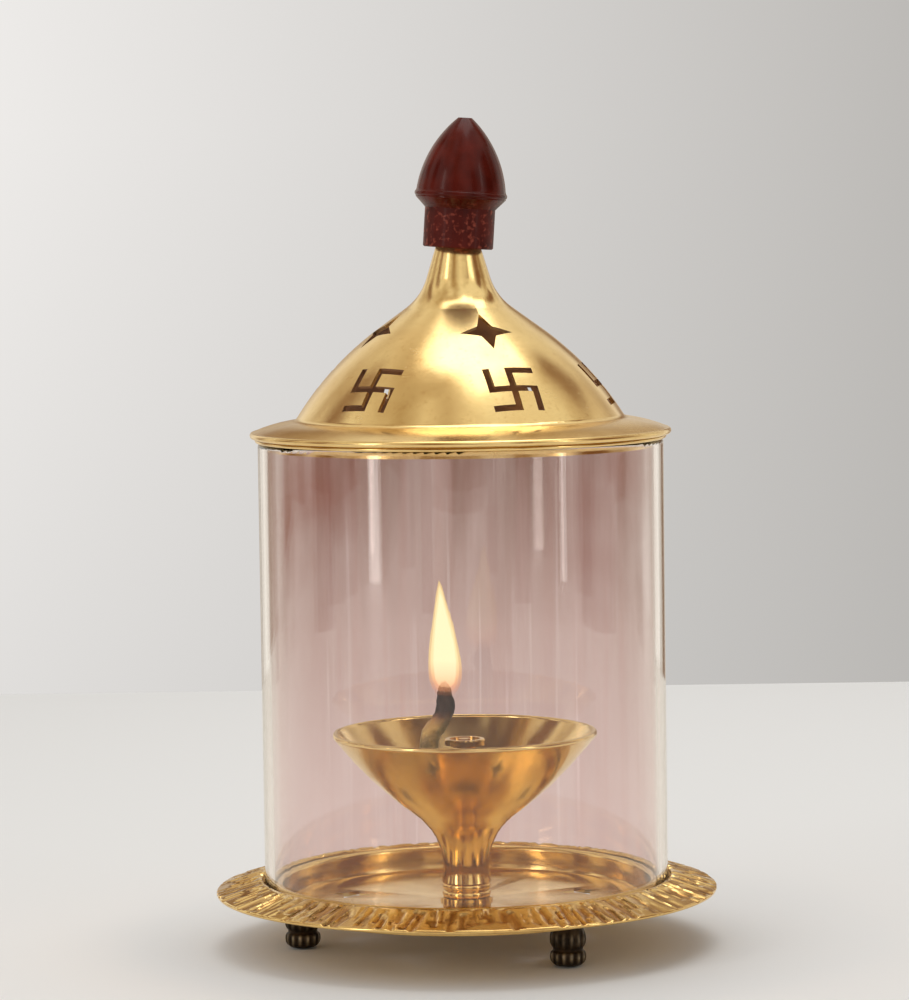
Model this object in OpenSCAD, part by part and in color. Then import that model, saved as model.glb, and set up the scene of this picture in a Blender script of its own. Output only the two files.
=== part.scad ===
// Diya oil lamp: a brass oil bowl on a turned stem, inside a glass chimney with a pierced lid.
// Millimetres, +Z up. The origin is on the table, under the middle of the base plate.
// Front is -Y. The glass lifts off the plate, the lid off the glass, and the wick holder out of the bowl.

/* [Base plate] */
// Radius of the plate at its outer edge
plate_r = 62.1; // [60.5:0.1:64]
// Thickness of the plate's brass sheet
sheet = 1.0; // [0.8:0.1:1.2]
// Height of the hammered rim's inner crest over the plate's outer edge
rim_rise = 3.6; // [3:0.1:4.2]
// Depth of the plate's floor below the outer edge, to its underside
floor_drop = 3.8; // [3.4:0.1:4.2]
// Radius of the plate's sunk floor
floor_r = 45.6; // [45:0.1:46]
// Distance of the floor vents from the middle
vent_ring_r = 30.5; // [27:0.5:33]
// Width of a floor vent
vent_w = 11; // [8:0.5:12]
// Number of floor vents
vent_count = 5; // [3:1:6]

/* [Feet] */
// Height of each foot below the plate's floor
foot_h = 9.8; // [7:0.1:12]
// Radius of a foot's two round bands
foot_r = 4.4; // [3.8:0.1:5]
// Distance of the feet from the middle
foot_ring_r = 41; // [39.5:0.5:41]
// Angle of the first foot, from the front towards +X
foot_angle = 36; // [0:1:60]

/* [Stem] */
// Height of the stem from the plate's floor to the bowl
stem_h = 18.8; // [17:0.1:22]
// Radius of the stem's waist
waist_r = 5.75; // [5.2:0.05:6.2]
// Radius of the curve that flares from the waist to the bowl
flare_r = 16.5; // [16:0.1:17]

/* [Bowl] */
// Radius of the bowl at its rim
bowl_r = 32.9; // [31:0.1:35]
// Radius of the curve of the bowl's side
bowl_side_r = 98; // [90:1:110]
// Thickness of the bowl's wall
bowl_wall = 1.2; // [0.9:0.1:1.4]
// Thickness of the bowl's bottom
bowl_bottom = 2.0; // [1.6:0.1:2.4]

/* [Wick] */
// Radius of the wick holder's round cap
cap_r = 5.05; // [4.6:0.05:5.3]
// Height of the wick holder
holder_h = 19.4; // [18:0.1:21]
// Diameter of the cotton wick
wick_d = 4.9; // [4:0.1:5]

/* [Glass chimney] */
// Outer diameter of the glass
glass_d = 100; // [99.6:0.1:100.4]
// Height of the glass
glass_h = 110.6; // [95:0.1:125]
// Thickness of the glass
glass_wall = 2.2; // [1.8:0.1:2.4]

/* [Lid] */
// Thickness of the lid's brass sheet
lid_sheet = 0.9; // [0.7:0.1:1]
// Radius at the foot of the lid's dome
dome_r = 40.7; // [39.8:0.1:41.2]
// Height from the glass to the foot of the dome
dome_lift = 5.2; // [5:0.1:5.6]
// Radius of the curve of the dome's shoulder
shoulder_r = 77; // [74:1:80]
// Radius of the curve between shoulder and neck
neck_blend_r = 14; // [13:0.5:15]
// Number of pierced signs around the shoulder
sign_count = 6; // [3:1:6]
// Number of pierced stars above the signs
star_count = 4; // [3:1:5]
// Width of a pierced sign
sign_w = 12.8; // [11:0.1:14]
// Width of the lines of a pierced sign
sign_line = 1.7; // [1.3:0.1:2]
// Width of a pierced star
star_w = 13.4; // [10:0.1:14]

/* [Knob] */
// Lean of the knob towards +X, in degrees
knob_lean = 4; // [0:0.5:5]
// Height of the knob
knob_h = 31.9; // [30:0.1:33]
// Radius of the knob's straight collar
knob_collar_r = 8.65; // [8:0.05:9]
// Radius of the knob's widest bead
knob_bead_r = 11.4; // [11:0.05:11.8]

/* [Hidden] */
$fn = 96;
eps = 0.01;

// Heights above the table
floor_bottom = foot_h;
floor_top = floor_bottom + sheet;
edge_z = floor_bottom + floor_drop;
crest_z = edge_z + rim_rise;
seat_z = edge_z + 1.0;
bowl_z = floor_top + stem_h;
oil_floor_z = bowl_z + bowl_bottom;
glass_top = seat_z + glass_h;
dome_z = glass_top + dome_lift;

// The glass's seat: a groove between the gallery ring and the hammered rim
glass_r = glass_d / 2;
seat_in_r = glass_r - glass_wall - 0.5;
seat_out_r = glass_r + 0.6;
gallery_z = edge_z + 3.2;
gallery_bead_r = (seat_in_r - floor_r) / 2 + 0.15;
gallery_wall_z = gallery_z - 0.9;
rim_edge_r = 0.5;
vent_angle = 36;

// Feet: a waisted shaft with a bevelled end, a low band and a double high one
foot_end_r = 2.4;
foot_bevel_h = 1.3;
foot_waist_r = foot_r - 0.6;
foot_band_r = 1.0;
foot_band_z = [2.2, foot_h - 2.9, foot_h - 2.0];
foot_angles = [for (i = [0:2]) foot_angle - 90 + 120 * i];

// Fasteners: shanks with a little room in their holes
clearance = 0.05;
bolt_r = 2.0;
bolt_head_r = 3.5;
bolt_head_h = 2.2;
bolt_end_h = 0.6;
washer_r = 4.8;
washer_h = 0.8;
nut_h = 3.2;
nut_r = 4.04;
slot_w = 0.9;
slot_h = 0.9;
screw_r = 1.25;
screw_head_r = 2.4;
screw_end_z = 2.5;

// The knob's screw goes up through a plug in the neck, with a washer under it
plug_h = 2.6;
knob_screw_r = 2.0;
knob_screw_head_r = 3.2;
knob_screw_head_h = 1.6;
knob_screw_reach = 12;
knob_washer_r = 3.9;

// Stem: a base ring with two beads over it, then a waist
stem_base_r = 6.5;
stem_base_h = 0.8;
stem_bead_r = 0.95;
stem_bead_out = 5.1;
stem_bead_z = [1.7, 3.6];
stem_waist_below = 10.6;
stem_collar_h = 3.6;

// The wick holder stands on a hollow foot that covers the centre bolt's head
holder_foot_r = 6.4;
holder_foot_h = 5.4;
holder_step_r = 5.4;
holder_step_h = 2.0;
holder_room = 0.4;
post_r = 2.6;
cap_h = 1.5;
cap_bevel = 0.3;
cap_ring_in = 1.4;
cap_ring_out = 3.8;
cap_ring_h = 0.5;

// Rolled lips
bowl_lip_r = 0.7;
lip_r = 0.8;

// Curved walls. A wall leans by an angle from upright, and is drawn from its wide end at height 0 towards
// its narrow end: a long side curve, a straight run, a blend curve of the opposite sense, and a last
// straight run.
// [wide end's radius, lean there, side curve's radius, lean of the run, run's length,
//  blend's radius, lean of the last run, its length]
dome_wall = [dome_r, 31.5, shoulder_r, 54, 9, neck_blend_r, 17, 8.2];
bowl_side = [bowl_r, 37, bowl_side_r, 53.5, 0.5, flare_r, 40, 0];
neck_trim = 0.5;
function unit(v) = v / norm(v);
function facing(lean) = [cos(lean), sin(lean)];
function along(lean) = [-sin(lean), cos(lean)];
function side_centre(w) = [w[0], 0] - w[2] * facing(w[1]);
function side_top(w, inset) = side_centre(w) + (w[2] - inset) * facing(w[3]);
function run_top(w, inset) = side_top(w, inset) + w[4] * along(w[3]);
function blend_centre(w) = run_top(w, 0) + w[5] * facing(w[3]);
function blend_top(w, inset) = blend_centre(w) - (w[5] + inset) * facing(w[6]);
function narrow_end(w, inset) = blend_top(w, inset) + w[7] * along(w[6]);

bowl_h = narrow_end(bowl_side, 0).y;
bowl_rim_z = bowl_z + bowl_h;
stem_r = narrow_end(bowl_side, 0).x;
neck_top_z = dome_z + narrow_end(dome_wall, 0).y - neck_trim;

// The lid's brim: a shallow curve from the dome's foot out to a rounded lip, and the small round corner
// that joins it to the dome
brim_curve_r = 34.4;
brim_centre = [dome_r, dome_z] - brim_curve_r * facing(85);
brim_tip = brim_centre + brim_curve_r * facing(67);
foot_corner_r = 1.8;
dome_centre = side_centre(dome_wall) + [0, dome_z];
// The upper of the two points at a distance a from p and b from q
function meeting(p, a, q, b) =
    let (d = q - p, n = norm(d), x = (a * a - b * b + n * n) / (2 * n))
        p + x / n * d + sqrt(a * a - x * x) / n * [-d.y, d.x];
corner_centre = meeting(dome_centre, shoulder_r + foot_corner_r, brim_centre, brim_curve_r + foot_corner_r);

// The collar under the brim
collar_sheet = 0.9;
collar_band_r = glass_r + 0.3;
skirt_in_r = glass_r - glass_wall - 1.4;
skirt_h = 1.8;
collar_bead_r = 0.5;

// Knob: heights of its collar, flared bead and pointed dome, from the neck up
knob_flare_z = 9.7;
knob_bead_z = [12.2, 13.8];
knob_dome_z = 14.1;
knob_point_r = 28;
knob_tip_out = 11.17;
knob_belly_z = 10.9;
knob_dome_r = knob_tip_out - knob_point_r + sqrt(pow(knob_point_r, 2) - pow(knob_dome_z - knob_belly_z, 2));

// The piercings sit at these places on the shoulder's curve
sign_lean = 39.5;
star_lean = 54;
sign_angle = 22;
star_angle = 19;
star_waist = 0.4;
seam_turn = star_angle - 90;

// The space inside a curved wall, as a half section, with the wall's surface moved in by inset. It goes on
// past the wide end by extra.
module wall_space(w, inset, extra) {
    top = side_top(w, inset);
    intersection() {
        translate(side_centre(w)) circle(w[2] - inset);
        translate([0, -extra]) square([w[0], top.y + extra]);
    }
    difference() {
        polygon([
            [0, top.y - eps], [top.x - eps, top.y - eps], top, run_top(w, inset),
            blend_centre(w), blend_top(w, inset), narrow_end(w, inset), [0, narrow_end(w, inset).y]
        ]);
        translate(blend_centre(w)) circle(w[5] + inset);
    }
}

// A four-pointed star of a given width, with its points on the axes
module star(w) {
    polygon([for (i = [0:7]) w / 2 * (i % 2 == 0 ? 1 : star_waist) * [cos(45 * i), sin(45 * i)]]);
}

// A cross with its arms bent clockwise, the sign of good fortune pierced in the lid
module sign() {
    arm = sign_w / 2;
    for (i = [0:3]) rotate(90 * i) translate([-sign_line / 2, 0]) {
        square([sign_line, arm]);
        translate([0, arm - sign_line]) square([arm + sign_line / 2, sign_line]);
    }
}

// Places a flat shape on the dome's shoulder, upright and facing out, and cuts it through the sheet
module on_shoulder(lean, angle) {
    p = side_centre(dome_wall) + shoulder_r * facing(lean);
    rotate(angle - 90) translate([p.x, 0, dome_z + p.y]) rotate([0, -lean, 0]) rotate([90, 0, 90])
        linear_extrude(6 * lid_sheet, center = true) children();
}

// A round hole with a little room for a shank, cut through from one height to another
module shank_hole(r, from, to) {
    translate([0, 0, from - 1]) cylinder(r = r + clearance, h = to - from + 2);
}

// A round head with a screwdriver's slot, from height 0 up
module slotted_head(r, h) {
    difference() {
        cylinder(r = r, h = h);
        translate([-r - 1, -slot_w / 2, h - slot_h]) cube([2 * r + 2, slot_w, slot_h + 1]);
    }
}

// Puts children at a foot's place
module at_foot(i) {
    rotate(foot_angles[i]) translate([foot_ring_r, 0, 0]) children();
}

// Puts children on the neck's sloping top, in the knob's own frame
module at_knob() {
    translate([0, 0, neck_top_z]) rotate([0, knob_lean, 0]) children();
}

module base_plate() {
    color("goldenrod") difference() {
        rotate_extrude() union() {
            polygon([
                [0, floor_bottom], [floor_r + sheet, floor_bottom], [floor_r + sheet, seat_z - sheet],
                [seat_out_r + sheet, seat_z - sheet], [seat_out_r + sheet, crest_z - sheet],
                [plate_r - 0.6, edge_z - 0.4], [plate_r - 0.4, edge_z + 0.4],
                [seat_out_r + 0.9, crest_z], [seat_out_r, crest_z - 0.5], [seat_out_r, seat_z],
                [seat_in_r, seat_z], [seat_in_r, gallery_wall_z], [floor_r, gallery_wall_z],
                [floor_r, floor_top], [0, floor_top]
            ]);
            translate([(floor_r + seat_in_r) / 2, gallery_z - gallery_bead_r]) circle(gallery_bead_r);
            translate([plate_r - rim_edge_r, edge_z]) circle(rim_edge_r);
        }
        for (i = [0:vent_count - 1])
            rotate(vent_angle + 360 / vent_count * i - 90) translate([vent_ring_r, 0, floor_bottom - 1])
                linear_extrude(sheet + 2) star(vent_w);
        for (i = [0:2]) at_foot(i) translate([0, 0, floor_bottom - eps])
            cylinder(r1 = screw_r + clearance, r2 = screw_head_r, h = sheet + 2 * eps);
        shank_hole(bolt_r, floor_bottom, floor_top);
    }
}

module foot() {
    difference() {
        rotate_extrude() {
            polygon([
                [0, 0], [foot_end_r, 0], [foot_waist_r, foot_bevel_h], [foot_waist_r, foot_h], [0, foot_h]
            ]);
            for (z = foot_band_z) translate([foot_r - foot_band_r, z]) circle(foot_band_r);
        }
        translate([0, 0, screw_end_z - 0.5]) cylinder(r = screw_r, h = foot_h);
    }
}

module foot_front() {
    color("darkslategray") at_foot(0) foot();
}

module foot_left() {
    color("darkslategray") at_foot(2) foot();
}

module foot_back() {
    color("darkslategray") at_foot(1) foot();
}

module foot_screws() {
    color("goldenrod") for (i = [0:2]) at_foot(i) {
        translate([0, 0, floor_bottom]) cylinder(r1 = screw_r, r2 = screw_head_r - clearance, h = sheet);
        translate([0, 0, screw_end_z]) cylinder(r = screw_r, h = foot_h - screw_end_z + eps);
    }
}

// Turned stem: a base ring and two beads, then a waist that flares to the bowl
module stem() {
    waist_z = bowl_z - stem_waist_below;
    color("goldenrod") difference() {
        rotate_extrude() {
            difference() {
                translate([0, floor_top]) square([stem_r, stem_h]);
                translate([waist_r + flare_r, waist_z]) circle(flare_r);
                translate([waist_r - 0.3, floor_top - 1])
                    square([stem_r, waist_z - stem_collar_h - floor_top + 1]);
            }
            translate([0, floor_top]) square([stem_base_r, stem_base_h]);
            for (z = stem_bead_z) translate([stem_bead_out, floor_top + z]) circle(stem_bead_r);
        }
        shank_hole(bolt_r, floor_top, bowl_z);
    }
}

// Spun bowl with a flat bottom and a small rolled lip
module bowl() {
    color("goldenrod") difference() {
        rotate_extrude() {
            difference() {
                translate([0, bowl_rim_z]) mirror([0, 1]) wall_space(bowl_side, 0, 0);
                intersection() {
                    translate([0, bowl_rim_z]) mirror([0, 1]) wall_space(bowl_side, bowl_wall, 1);
                    translate([0, oil_floor_z]) square([bowl_r, bowl_h]);
                }
            }
            translate([bowl_r - bowl_lip_r, bowl_rim_z - 0.1]) circle(bowl_lip_r);
        }
        shank_hole(bolt_r, bowl_z, oil_floor_z);
    }
}

module centre_bolt() {
    bolt_end_z = floor_bottom - washer_h - nut_h - bolt_end_h;
    color("darkgoldenrod") {
        translate([0, 0, bolt_end_z]) cylinder(r = bolt_r, h = oil_floor_z - bolt_end_z + eps);
        translate([0, 0, oil_floor_z]) slotted_head(bolt_head_r, bolt_head_h);
    }
}

module centre_washer() {
    color("silver") translate([0, 0, floor_bottom - washer_h]) difference() {
        cylinder(r = washer_r, h = washer_h);
        shank_hole(bolt_r, 0, washer_h);
    }
}

module centre_nut() {
    color("silver") translate([0, 0, floor_bottom - washer_h - nut_h]) difference() {
        cylinder(r = nut_r, h = nut_h, $fn = 6);
        translate([0, 0, -1]) cylinder(r = bolt_r, h = nut_h + 2);
    }
}

// Turned holder: a hollow foot, a post and a round cap with a ring turned in its top
module wick_holder() {
    cap_z = holder_h - cap_h;
    color("goldenrod") translate([0, 0, oil_floor_z]) rotate_extrude() difference() {
        polygon([
            [0, 0], [holder_foot_r, 0], [holder_foot_r, holder_step_h - 0.8],
            [holder_step_r, holder_step_h], [holder_step_r - 0.2, holder_step_h + 1.2],
            [post_r, holder_foot_h], [post_r, cap_z - 0.8],
            [cap_r - 1, cap_z], [cap_r, cap_z], [cap_r, holder_h - cap_bevel],
            [cap_r - cap_bevel, holder_h], [0, holder_h]
        ]);
        translate([-1, -1]) square([1 + bolt_head_r + holder_room, 1 + bolt_head_h + holder_room]);
        translate([cap_ring_in, holder_h - cap_ring_h])
            square([cap_ring_out - cap_ring_in, 2 * cap_ring_h]);
    }
}

// The wick's route: half a turn round the holder's post, then up past the cap.
// Each ring is [x, y, z, radius].
wick_r = wick_d / 2;
wind_r = post_r + wick_r + 0.1;
wind_z = oil_floor_z + holder_foot_h + wick_r + 0.3;
wick_route = concat(
    [for (a = [30:25:155]) [wind_r * cos(a), wind_r * sin(a), wind_z + (a - 30) / 60, wick_r]],
    [
        [-5.8, 0.6, wind_z + 3.2, wick_r], [-7.6, -0.8, wind_z + 5.6, wick_r],
        [-8.9, -1.5, wind_z + 8.4, wick_r], [-8.9, -1.5, wind_z + 10.8, wick_r],
        [-7.9, -1.2, wind_z + 13.2, wick_r],
        [-6.3, -0.8, wind_z + 15.4, wick_r - 0.1], [-5, -0.4, wind_z + 17.6, wick_r - 0.1],
        [-4.7, 0, wind_z + 20, wick_r - 0.1], [-4.8, 0, wind_z + 22.2, 2], [-4.9, 0, wind_z + 24.2, 1.5],
        [-4.9, 0, wind_z + 25.4, 0.8]
    ]
);
function spot(p) = [p[0], p[1], p[2]];
function heading(r, i) = unit(spot(r[min(i + 1, len(r) - 1)]) - spot(r[max(i - 1, 0)]));
// A side direction for each ring, carried on from the ring before so that the sweep doesn't twist
function sides(r, i = 0, last = [0, 0, 1]) = i == len(r) ? [] :
    let (h = heading(r, i), s = unit(last - (last * h) * h)) concat([s], sides(r, i + 1, s));

module sweep(r, n) {
    s = sides(r);
    points = [
        for (i = [0:len(r) - 1], k = [0:n - 1])
            let (h = heading(r, i), a = 360 * k / n)
                spot(r[i]) + r[i][3] * (cos(a) * s[i] + sin(a) * cross(h, s[i]))
    ];
    skin = [
        for (i = [0:len(r) - 2], k = [0:n - 1])
            [i * n + k, (i + 1) * n + k, (i + 1) * n + (k + 1) % n, i * n + (k + 1) % n]
    ];
    first = [for (k = [0:n - 1]) k];
    last = [for (k = [n - 1:-1:0]) (len(r) - 1) * n + k];
    polyhedron(points, concat(skin, [first, last]));
}

module wick() {
    color("darkkhaki") sweep(wick_route, 12);
}

module glass_chimney() {
    rim = glass_wall / 2;
    color("mistyrose", 0.4) rotate_extrude() {
        translate([glass_r - glass_wall, seat_z + rim]) square([glass_wall, glass_h - 2 * rim]);
        translate([glass_r - rim, seat_z + rim]) circle(rim);
        translate([glass_r - rim, glass_top - rim]) circle(rim);
    }
}

// The space under the lid's sheet, with the sheet's surface moved in by inset: the dome and the brim
module lid_space(inset) {
    brim_depth = dome_z - brim_tip.y + 1.5 + inset;
    translate([0, dome_z]) wall_space(dome_wall, inset, brim_depth);
    intersection() {
        translate(brim_centre) circle(brim_curve_r - inset);
        translate([dome_r / 2, dome_z - brim_depth]) square([brim_tip.x - dome_r / 2, brim_depth]);
    }
}

// The round corner between dome and brim, moved in by inset
module lid_corner(inset) {
    on_dome = dome_centre + (shoulder_r - inset) * unit(corner_centre - dome_centre);
    on_brim = brim_centre + (brim_curve_r - inset) * unit(corner_centre - brim_centre);
    rotate_extrude() difference() {
        polygon([on_dome, corner_centre, on_brim, [on_dome.x - 2, on_brim.y - 1]]);
        translate(corner_centre) circle(foot_corner_r + inset);
    }
}

// Spun lid: brim, pierced dome and neck in one sheet, with a solid plug in the neck
module lid_dome() {
    color("gold") difference() {
        rotate(seam_turn) union() {
            rotate_extrude() {
                lid_space(0);
                translate([brim_tip.x, brim_tip.y - lip_r]) circle(lip_r);
            }
            lid_corner(0);
        }
        difference() {
            rotate(seam_turn) rotate_extrude() lid_space(lid_sheet);
            at_knob() translate([-20, -20, -plug_h]) cube([40, 40, 20]);
        }
        rotate(seam_turn) lid_corner(lid_sheet);
        at_knob() {
            translate([-20, -20, 0]) cube([40, 40, 20]);
            shank_hole(knob_screw_r, -plug_h, 0);
        }
        for (i = [0:sign_count - 1]) on_shoulder(sign_lean, sign_angle + 360 / sign_count * i) sign();
        for (i = [0:star_count - 1]) on_shoulder(star_lean, star_angle + 360 / star_count * i) star(star_w);
    }
}

// Ring under the brim: it rests on the glass's rim, its band holds the brim up, and its skirt goes down
// inside the glass
module lid_collar() {
    color("goldenrod") rotate_extrude() {
        translate([skirt_in_r, glass_top - skirt_h]) square([collar_sheet, skirt_h + eps]);
        translate([skirt_in_r, glass_top]) square([collar_band_r - skirt_in_r, collar_sheet]);
        intersection() {
            translate([collar_band_r - collar_sheet, glass_top]) square([collar_sheet, dome_z - glass_top]);
            translate(brim_centre) circle(brim_curve_r - lid_sheet);
        }
        translate([collar_band_r - 0.1, glass_top + collar_bead_r]) circle(collar_bead_r);
    }
}

// Turned knob: a straight collar, a flared bead and a pointed dome
module knob() {
    knob_edge_r = knob_bead_r - 0.3;
    point_centre = [knob_tip_out - knob_point_r, knob_belly_z];
    color("maroon") at_knob() difference() {
        rotate_extrude() {
            polygon([
                [0, 0], [knob_collar_r - 0.3, 0], [knob_collar_r, 0.3], [knob_collar_r, knob_flare_z],
                [knob_edge_r, knob_bead_z[0]], [knob_edge_r, knob_bead_z[1]],
                [knob_dome_r, knob_dome_z], [0, knob_dome_z]
            ]);
            translate([knob_bead_r - 0.8, (knob_bead_z[0] + knob_bead_z[1]) / 2 + 0.1]) circle(0.8);
            intersection() {
                translate(point_centre) circle(knob_point_r);
                translate([0, knob_dome_z]) square([knob_bead_r, knob_h - knob_dome_z]);
            }
        }
        translate([0, 0, -1]) cylinder(r = knob_screw_r, h = knob_screw_reach + 1);
    }
}

module knob_screw() {
    head_top = -plug_h - washer_h;
    color("silver") at_knob() translate([0, 0, head_top]) {
        cylinder(r = knob_screw_r, h = knob_screw_reach - 0.5 - head_top);
        rotate([180, 0, 0]) slotted_head(knob_screw_head_r, knob_screw_head_h);
    }
}

module knob_washer() {
    color("silver") at_knob() translate([0, 0, -plug_h - washer_h]) difference() {
        cylinder(r = knob_washer_r, h = washer_h);
        shank_hole(knob_screw_r, 0, washer_h);
    }
}

base_plate();
foot_front();
foot_left();
foot_back();
foot_screws();
stem();
bowl();
centre_bolt();
centre_washer();
centre_nut();
wick_holder();
wick();
glass_chimney();
lid_dome();
lid_collar();
knob();
knob_screw();
knob_washer();
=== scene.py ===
# %% [markdown]
# Diya oil lamp. A brass bowl holds oil and a cotton wick. It stands on a turned stem in the middle of a
# round plate, and a glass chimney with a pierced brass lid keeps the wind off the flame. This lesson dresses
# the lamp's working model: it keeps the turned parts whose shape is already right and gives them their
# finish, and it makes anew the pieces that need more relief, such as the hammered rim.

# %% Open the working model
import math
import random

import bmesh
import bpy
import numpy as np
from mathutils import Matrix, Vector


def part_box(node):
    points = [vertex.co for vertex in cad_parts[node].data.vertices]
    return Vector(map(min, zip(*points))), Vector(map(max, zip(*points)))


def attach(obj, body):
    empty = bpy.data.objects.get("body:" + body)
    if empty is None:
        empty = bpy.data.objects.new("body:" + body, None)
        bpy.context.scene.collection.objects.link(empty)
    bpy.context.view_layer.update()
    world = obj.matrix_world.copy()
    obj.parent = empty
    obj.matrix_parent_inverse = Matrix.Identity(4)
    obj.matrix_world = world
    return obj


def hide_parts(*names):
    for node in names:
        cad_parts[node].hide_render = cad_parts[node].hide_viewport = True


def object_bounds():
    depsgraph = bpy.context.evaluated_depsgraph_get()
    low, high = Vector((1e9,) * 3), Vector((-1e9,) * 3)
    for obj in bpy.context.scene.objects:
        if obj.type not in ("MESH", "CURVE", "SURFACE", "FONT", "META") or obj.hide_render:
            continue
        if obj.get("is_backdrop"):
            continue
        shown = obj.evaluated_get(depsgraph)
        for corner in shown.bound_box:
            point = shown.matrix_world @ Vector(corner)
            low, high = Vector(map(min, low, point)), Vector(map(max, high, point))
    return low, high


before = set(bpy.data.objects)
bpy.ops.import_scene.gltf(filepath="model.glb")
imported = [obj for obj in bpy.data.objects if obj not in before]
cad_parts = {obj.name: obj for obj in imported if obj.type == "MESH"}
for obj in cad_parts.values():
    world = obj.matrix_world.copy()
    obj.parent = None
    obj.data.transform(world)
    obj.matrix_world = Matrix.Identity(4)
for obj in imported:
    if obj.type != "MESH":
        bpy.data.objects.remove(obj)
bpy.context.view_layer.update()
MM = 0.001

# %% [markdown]
# The camera comes first, because every finish is judged through it. The lamp is seen from a metre away and
# a little above, through a long lens that keeps its sides upright. The camera is turned a little about its
# own line of sight, so the lamp leans a touch to the left.

# %% Camera
EYE = Vector((-0.0017, -0.985, 0.1831))
LOOK_DOWN = math.radians(4.231)
ROLL = math.radians(-0.8)
lens = bpy.data.cameras.new("camera")
lens.lens, lens.sensor_width = 144, 36
lens.clip_start = 0.05
camera = bpy.data.objects.new("camera", lens)
tilt = Matrix.Rotation(math.radians(90) - LOOK_DOWN, 4, "X") @ Matrix.Rotation(ROLL, 4, "Z")
camera.matrix_world = Matrix.Translation(EYE) @ tilt
bpy.context.scene.collection.objects.link(camera)
bpy.context.scene.camera = camera
print("camera at", [round(part, 3) for part in camera.location])

# %% [markdown]
# The set is a pale table that ends a little way behind the lamp, and a plain grey wall, which is the world's
# own colour. Polished brass shows whatever stands around it. So tall brown screens and soft white panels
# stand outside the view, and give the metal its dark and bright bands. The screens are seen only in
# reflections. A mauve curtain hangs close behind the lamp, and only what looks through the glass sees it.

# %% Node helpers
def add_node(tree, kind, inputs=None, **settings):
    """A node with its settings made, and each input given a value or joined to a socket."""
    made = tree.nodes.new(kind)
    for key, value in settings.items():
        setattr(made, key, value)
    for key, value in (inputs or {}).items():
        if isinstance(value, bpy.types.NodeSocket):
            tree.links.new(value, made.inputs[key])
        else:
            made.inputs[key].default_value = value
    return made


def maths(tree, operation, *values):
    return add_node(tree, "ShaderNodeMath", dict(enumerate(values)), operation=operation).outputs[0]


def blend_colours(tree, amount, first, second):
    made = add_node(tree, "ShaderNodeMix", {0: amount, 6: first, 7: second}, data_type="RGBA")
    return made.outputs[2]


def remap(tree, value, from_low, from_high, to_low=0.0, to_high=1.0):
    sockets = {"Value": value, "From Min": from_low, "From Max": from_high,
               "To Min": to_low, "To Max": to_high}
    return add_node(tree, "ShaderNodeMapRange", sockets).outputs[0]


print("node helpers ready")

# %% Table, wall, screens and panels
FLOOR_END = 0.525
stage_objects = []


def flat_card(name, centre, width, height, turn, colour, glow=0.0):
    """An upright rectangle, turned about Z, with a plain finish."""
    bm = bmesh.new()
    bmesh.ops.create_grid(bm, x_segments=1, y_segments=1, size=0.5)
    bmesh.ops.scale(bm, vec=(width, height, 1), verts=bm.verts)
    place = Matrix.Translation(centre) @ Matrix.Rotation(turn, 4, "Z") @ Matrix.Rotation(math.pi / 2, 4, "X")
    bmesh.ops.transform(bm, matrix=place, verts=bm.verts)
    mesh = bpy.data.meshes.new(name)
    bm.to_mesh(mesh)
    bm.free()
    card = bpy.data.objects.new(name, mesh)
    bpy.context.scene.collection.objects.link(card)
    finish = bpy.data.materials.new(name)
    finish.use_nodes = True
    shader = finish.node_tree.nodes["Principled BSDF"]
    shader.inputs["Base Color"].default_value = (*colour, 1)
    shader.inputs["Roughness"].default_value = 0.9
    shader.inputs["Emission Color"].default_value = (*colour, 1)
    shader.inputs["Emission Strength"].default_value = glow
    mesh.materials.append(finish)
    card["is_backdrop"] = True
    stage_objects.append(card)
    return card


table = flat_card("table", (0, 0, 0), 1, 1, 0, (0.80, 0.80, 0.79))
table.data.transform(Matrix.Rotation(-math.pi / 2, 4, "X"))
table.data.transform(Matrix.Scale(3, 4, (1, 0, 0)) @ Matrix.Scale(2, 4, (0, 1, 0)))
table.data.transform(Matrix.Translation((0, FLOOR_END - 1, -0.0002)))

BROWN = (0.15, 0.06, 0.022)
SCREENS = [
    ("screen_left", (-0.80, -0.10, 0.30), 0.20, 1.0, 90),
    ("screen_left_front", (-0.30, -0.85, 0.28), 0.10, 0.9, -20),
    ("screen_right", (0.78, -0.12, 0.30), 0.34, 1.0, 90),
    ("screen_right_front", (0.52, -0.78, 0.30), 0.16, 0.9, 34),
    ("beam_right", (0.60, 0.42, 0.78), 0.22, 0.40, -55),
    ("beam_left", (-0.62, 0.30, 0.70), 0.20, 0.55, 60),
]
for name, centre, width, height, turn in SCREENS:
    screen = flat_card(name, centre, width, height, math.radians(turn), BROWN, 0.3)
    screen.visible_camera = screen.visible_diffuse = screen.visible_shadow = False

# A curtain close behind the lamp, seen only through the glass: mauve, darker and rosier towards its top. Its
# soft upright folds are painted light, paler bands on the flat card, and high up near both sides a dark
# red-brown painted reflection is laid on. Rays that come from the brass pass through it.
veil = flat_card("veil", (0, 0.075, 0.182), 0.2, 0.356, 0, (0, 0, 0))
veil.visible_camera = veil.visible_diffuse = veil.visible_shadow = veil.visible_glossy = False
weave = veil.data.materials[0].node_tree
spot = add_node(weave, "ShaderNodeTexCoord").outputs["Object"]
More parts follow.
